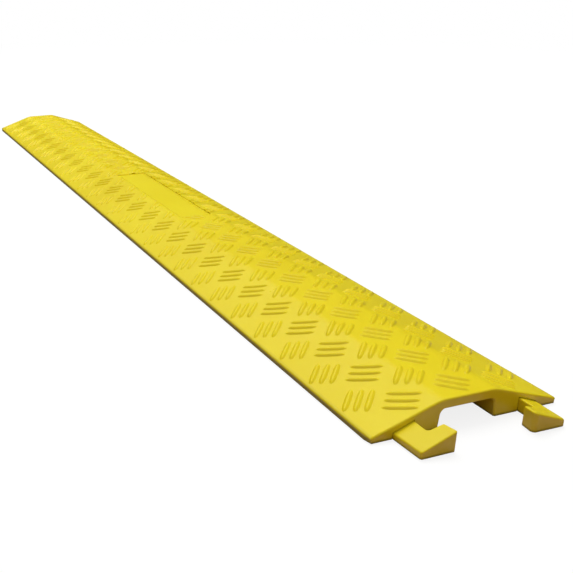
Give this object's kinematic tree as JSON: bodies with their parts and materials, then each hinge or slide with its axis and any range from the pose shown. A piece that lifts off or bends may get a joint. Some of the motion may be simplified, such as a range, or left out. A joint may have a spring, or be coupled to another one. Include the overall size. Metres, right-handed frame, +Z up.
{
  "type": "cable protector ramp",
  "caption": "Low yellow drop-over cable ramp with raised tread, an open cable channel underneath, end hooks that link to the next module and a sunken label plate.",
  "frame": {"origin": "middle of the footprint, hooks included, at floor level", "axes": "+X along the module towards the connector hooks, +Y across it towards the right-hand slope, +Z up from the floor"},
  "size_m": [1.023, 0.13, 0.0186],
  "materials": {
    "shell_yellow": "moulded yellow plastic, satin, with raised tread bars",
    "hook_yellow": "moulded yellow plastic, satin",
    "plate_yellow": "smooth yellow plastic, blank",
    "grip_rubber": "black ribbed rubber"
  },
  "bodies": {
    "root": {"ramp_shell": "shell_yellow", "connector_hook_left": "hook_yellow", "connector_hook_right": "hook_yellow", "label_plate": "plate_yellow", "grip_strip_left_near": "grip_rubber", "grip_strip_left_far": "grip_rubber", "grip_strip_right_near": "grip_rubber", "grip_strip_right_far": "grip_rubber"}
  },
  "joints": []
}
